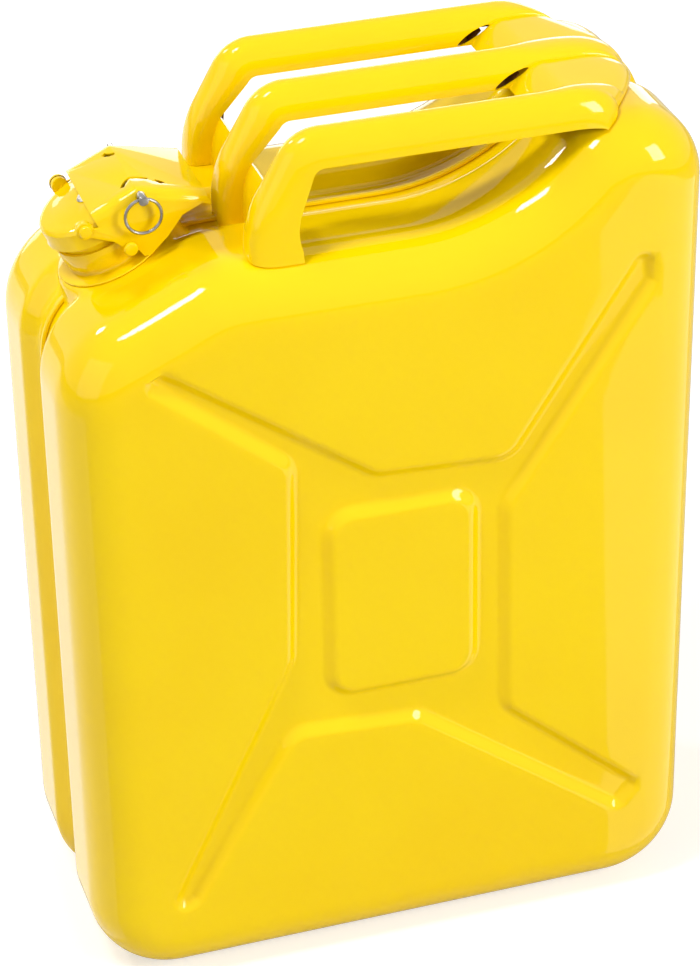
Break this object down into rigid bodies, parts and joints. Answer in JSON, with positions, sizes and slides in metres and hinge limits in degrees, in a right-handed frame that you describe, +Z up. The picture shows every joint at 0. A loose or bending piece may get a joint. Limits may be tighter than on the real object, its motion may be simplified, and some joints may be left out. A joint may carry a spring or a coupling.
{
  "type": "fuel can",
  "caption": "Upright pressed-steel fuel can with sunk cross panels, a webbed bar handle, a tilted spout neck and a hinged lid closed by a cam lever with a lock pin and ring.",
  "frame": {"origin": "on the floor under the middle of the can", "axes": "+Z up; -X towards the spout and +X towards the rear hump; +Y towards the far broad face"},
  "size_m": [0.339, 0.1676, 0.485],
  "materials": {
    "yellow_paint": "gloss",
    "bright_steel": "satin",
    "plated_steel": "satin",
    "fuel_rubber": "matte"
  },
  "bodies": {
    "can": {"near_half_shell": "yellow_paint", "far_half_shell": "yellow_paint", "triple_bar_handle": "yellow_paint", "spout_neck": "yellow_paint", "neck_collar": "yellow_paint", "near_trunnion": "yellow_paint", "far_trunnion": "yellow_paint", "hinge_pin": "yellow_paint", "hinge_pin_washer": "yellow_paint", "breather_tube": "plated_steel", "breather_clip": "plated_steel"},
    "lid_body": {"lid": "yellow_paint", "lid_gasket": "fuel_rubber", "gasket_retainer": "plated_steel", "retainer_rivet": "plated_steel", "near_pivot_rivet": "yellow_paint", "far_pivot_rivet": "yellow_paint"},
    "lever_body": {"cam_lever": "yellow_paint"},
    "lock_pin_body": {"lock_pin": "bright_steel"},
    "ring_body": {"lock_pin_ring": "bright_steel"}
  },
  "joints": [
    {"name": "lid_hinge", "type": "hinge", "parent": "can", "child": "lid_body", "pos_m": [-0.10118, 0, 0.43648], "axis": [0, 1, 0], "range_deg": [0, 82]},
    {"name": "lever_pivot", "type": "hinge", "parent": "lid_body", "child": "lever_body", "pos_m": [-0.1431, 0, 0.43337], "axis": [0, -1, 0], "range_deg": [0, 80]},
    {"name": "lock_pin_pull", "type": "slide", "parent": "lever_body", "child": "lock_pin_body", "axis": [0, -1, 0], "range_m": [0, 0.045]},
    {"name": "ring_swing", "type": "hinge", "parent": "lock_pin_body", "child": "ring_body", "pos_m": [-0.11459, -0.0344, 0.44843], "axis": [-1, 0, 0], "range_deg": [0, 75]}
  ],
  "couplings": [
    {"joint": "lid_hinge", "follows": "lever_pivot", "ratio": 1}
  ]
}
